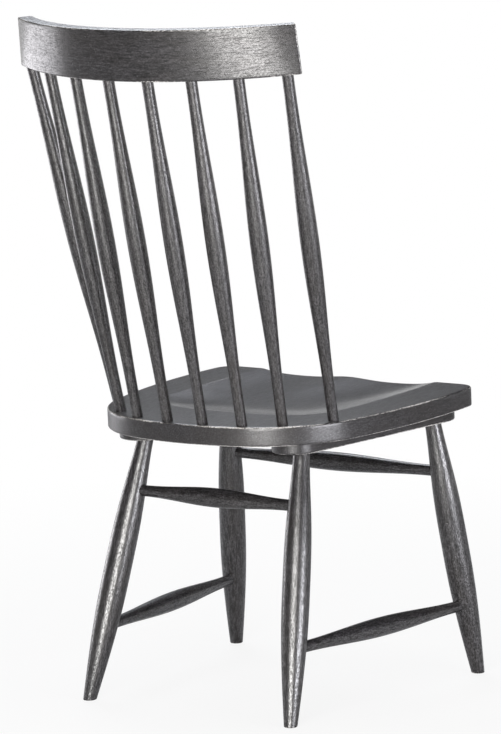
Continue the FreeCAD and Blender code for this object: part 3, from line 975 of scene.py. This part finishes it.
def stained_wood(name, softness, coat_roughness, coat_index, fleck_bump, fuzz_bump):
    """Stained and lacquered wood. The greater the softness, the fainter the streaks and flecks.

    The tone is the mean of streaks and flecks, drawn out about its middle, and its square mixes
    the dark and the grey stain.
    """
    material, start = new_material(name)
    streaks = stretched_noise(start, STREAKS_ACROSS, STREAKS_ALONG, detail=3.0, rough=0.7)
    flecks = stretched_noise(start, across=560.0, along=300.0, detail=2.0, rough=0.7)
    fuzz = stretched_noise(start, across=1000.0, along=600.0, detail=1.0, rough=0.5)
    pores = stretched_noise(start, across=760.0, along=80.0, detail=1.0, rough=0.5)
    clouds = stretched_noise(start, across=22.0, along=7.0, detail=2.0, rough=0.5)
    dents = stretched_noise(start, across=240.0, along=170.0, detail=0.0, rough=0.5)
    pores = pores.between(0.55, 0.65)
    dents = dents.between(0.76, 0.82)

    rubbed = start.node("ShaderNodeAttribute", {"attribute_name": "wear"}, {}, "Fac")
    patchy = clouds.between(0.35, 0.6, 0.5, 1.0) * flecks.between(0.36, 0.6, 0.45, 1.0)
    worn = (rubbed * patchy).between(0.32, 0.58)

    tone = (streaks * 0.5 + flecks * 0.5).between(0.5 - softness, 0.5 + softness)
    stained = (tone * tone).colours(DARK_STAIN, GREY_STAIN)
    cloudy = clouds.between(0.35, 0.75, 0.0, 0.5).colours(stained, BROWN_CLOUD)
    with_pores = (pores * 0.7).colours(cloudy, PORE_BLACK)
    coat = flecks.between(0.5 - softness, 0.5 + softness, 0.05, 1.0)

    height = fuzz * fuzz_bump + flecks * fleck_bump - pores * 0.1 - dents * 0.6
    bump = {"Height": height, "Strength": 1.0, "Distance": BUMP_DEPTH}
    finish_surface(start, {
        "Base Color": (worn * 0.75).colours(with_pores, BARE_WOOD),
        "Roughness": tone.between(0.0, 1.0, 0.40, 0.26),
        "Specular IOR Level": 0.35,
        "Coat Weight": coat * (1 - pores * 0.8) * (1 - worn * 0.6),
        "Coat Roughness": coat_roughness,
        "Coat IOR": coat_index,
        "Normal": start.node("ShaderNodeBump", {}, bump),
    })
    return material


leg_wood = stained_wood(
    "leg_wood", softness=0.13, coat_roughness=0.25, coat_index=1.75, fleck_bump=0.05, fuzz_bump=0.55
)
slim_wood = stained_wood(
    "slim_wood", softness=0.17, coat_roughness=0.28, coat_index=1.6, fleck_bump=0.0, fuzz_bump=0.4
)
board_wood = stained_wood(
    "board_wood", softness=0.22, coat_roughness=0.17, coat_index=1.5, fleck_bump=0.0, fuzz_bump=0.3
)
for piece in pieces:
    if "leg" in piece.name:
        piece.data.materials.append(leg_wood)
    elif "spindle" in piece.name or "stretcher" in piece.name:
        piece.data.materials.append(slim_wood)
    else:
        piece.data.materials.append(board_wood)
print("wood finish on", len(pieces), "pieces")

# %% [markdown]
# ## Screws
# The cleats' screws are only seen from below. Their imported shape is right, slots and all, so they
# keep it and only get brushed zinc. A flat grey metal would look like plastic, so its colour and
# its roughness vary in a fine grain.

# %% Zinc screws
DARK_ZINC = (0.42, 0.42, 0.43, 1)
PALE_ZINC = (0.62, 0.62, 0.60, 1)

zinc, start = new_material("zinc_screw")
place = start.node("ShaderNodeTexCoord", {}, {}, "Object")
brushed = start.node("ShaderNodeTexNoise", {}, {"Vector": place, "Scale": 900.0, "Detail": 3.0})
brushed = brushed.between(0.3, 0.7)
scratched = start.node("ShaderNodeBump", {}, {"Height": brushed, "Strength": 0.3, "Distance": 0.0001})
finish_surface(start, {
    "Base Color": brushed.colours(DARK_ZINC, PALE_ZINC),
    "Metallic": 1.0,
    "Roughness": brushed.between(0.0, 1.0, 0.28, 0.45),
    "Normal": scratched,
})
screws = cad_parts["cleat_screws"]
screws.data.materials.clear()
screws.data.materials.append(zinc)
print("screws in zinc")

# %% [markdown]
# ## Floor
# The chair stands on a pale floor without a horizon. Stronger light could turn a floor white, but
# it would bleach the chair too. So the white is a colour that only shows where it is looked at:
# the camera sees the floor almost white, and wholly white further out. Gloss sees the white far
# out only. For all other light the floor stays plain and pale, and it keeps a soft shadow.

# %% Floor that turns white
FLOOR_RADIUS = 60
FLOOR_CORNERS = 96
PALE = (0.64, 0.64, 0.64, 1)
WHITE = (1, 1, 1, 1)

turn = np.linspace(0, 2 * np.pi, FLOOR_CORNERS, endpoint=False)
disc = FLOOR_RADIUS * np.stack([np.cos(turn), np.sin(turn), np.zeros(FLOOR_CORNERS)], -1)
floor_mesh = bpy.data.meshes.new("floor")
floor_mesh.from_pydata(disc.tolist(), [], [list(range(FLOOR_CORNERS))])
floor = bpy.data.objects.new("floor", floor_mesh)
bpy.context.scene.collection.objects.link(floor)

pale_floor, start = new_material("pale_floor")
place = start.node("ShaderNodeTexCoord", {}, {}, "Object")
away = start.node("ShaderNodeVectorMath", {"operation": "LENGTH"}, {0: place}, "Value")
matt = start.node("ShaderNodeBsdfDiffuse", {}, {"Color": PALE})
white = start.node("ShaderNodeEmission", {}, {"Color": WHITE, "Strength": 1.0})
camera_ray = start.node("ShaderNodeLightPath", {}, {}, "Is Camera Ray")
glossy_ray = start.node("ShaderNodeLightPath", {}, {}, "Is Glossy Ray")
glass_ray = start.node("ShaderNodeLightPath", {}, {}, "Is Transmission Ray")
seen = camera_ray * away.between(0.5, 2.0, 0.88, 1.0)
mirrored = (glossy_ray + glass_ray) * away.between(3.0, 9.0)
blend = start.node("ShaderNodeMixShader", {}, {0: seen + mirrored, 1: matt, 2: white})
start.node("ShaderNodeOutputMaterial", {}, {"Surface": blend})
floor_mesh.materials.append(pale_floor)
print("floor of radius", FLOOR_RADIUS, "m")

# %% [markdown]
# ## Background
# Behind the floor's far edge the world is white up to a few degrees above the horizon, so that
# the edge is lost. A world that is white all over would light the chair flatly from every side
# and wash the highlights out, so higher up it is nearly black.

# %% World
world = bpy.data.worlds.new("studio")
bpy.context.scene.world = world
world.use_nodes = True
world.node_tree.nodes.clear()
start = Wire(world.node_tree)
direction = start.node("ShaderNodeTexCoord", {}, {}, "Generated")
upward = start.node("ShaderNodeSeparateXYZ", {}, {"Vector": direction}, "Z")
low_white = upward.between(0.09, 0.12, 1.0, 0.05)
sky = start.node("ShaderNodeBackground", {}, {"Color": WHITE, "Strength": low_white})
start.node("ShaderNodeOutputWorld", {}, {"Surface": sky})
bpy.context.scene.view_settings.view_transform = "Standard"
print("white background")

# %% [markdown]
# ## Lights
# Soft boxes stand round the chair. A sun lamp would be simpler, but what shows in the lacquer is
# the lamps' mirror image, and a broad one needs a broad lamp. They are named as the camera sees
# them, and their places are chosen from where the highlights run along the legs and the crest
# rail. The left and the right box stay about as low as the seat, so that its flat top doesn't
# mirror them when it is seen from the side.

# %% Soft boxes
CHAIR_MIDDLE = (0, 0, 0.5)
WARM = (1.0, 0.985, 0.965)
VIOLET = (0.95, 0.95, 1.0)
PALE_VIOLET = (0.98, 0.96, 1.0)
BLUE = (0.90, 0.93, 1.0)
DEEP_BLUE = (0.90, 0.92, 1.0)


def soft_box(name, place, width, tall, power, colour=(1, 1, 1)):
    """Area light at a place, facing the middle of the chair, in metres and watts.

    Back points from the chair to the lamp, side is level, and up is square to both.
    """
    data = bpy.data.lights.new(name, "AREA")
    data.shape = "RECTANGLE"
    data.size, data.size_y, data.energy, data.color = width, tall, power, colour
    lamp = bpy.data.objects.new(name, data)
    bpy.context.scene.collection.objects.link(lamp)
    back = np.array(place, float) - CHAIR_MIDDLE
    back /= np.linalg.norm(back)
    side = np.cross([0.0, 0.0, 1.0], back) if abs(back[2]) < 0.99 else np.array([1.0, 0.0, 0.0])
    side /= np.linalg.norm(side)
    lamp.matrix_world = placed(side, np.cross(back, side), back, place)
    lamp.visible_camera = False
    return lamp


def round_the_chair(name, azimuth, height, distance, width, tall, power, colour):
    """Soft box so far from the chair's axis, in a direction given in degrees from +X."""
    turn = np.radians(azimuth)
    place = (distance * np.cos(turn), distance * np.sin(turn), height)
    return soft_box(name, place, width, tall, power, colour)


# Each line: name, degrees from +X, height, distance, width, how tall, watts and colour.
round_the_chair("front_box", 111, 0.85, 2.8, 1.7, 1.5, 100, WARM)
round_the_chair("low_front_box", 111, 0.25, 2.6, 1.0, 0.4, 15, WARM)
round_the_chair("right_box", 174, 0.46, 2.8, 1.6, 0.8, 66, VIOLET)
round_the_chair("left_box", 359, 0.36, 2.8, 1.7, 0.6, 14, PALE_VIOLET)
round_the_chair("high_left_box", 315, 2.5, 2.0, 1.3, 1.3, 46, BLUE)
round_the_chair("back_box", 302, 1.5, 2.8, 0.8, 0.6, 0.5, DEEP_BLUE)
soft_box("top_box", (0, 0, 3.3), 1.3, 1.3, 30)
print("lights:", len(bpy.data.lights))
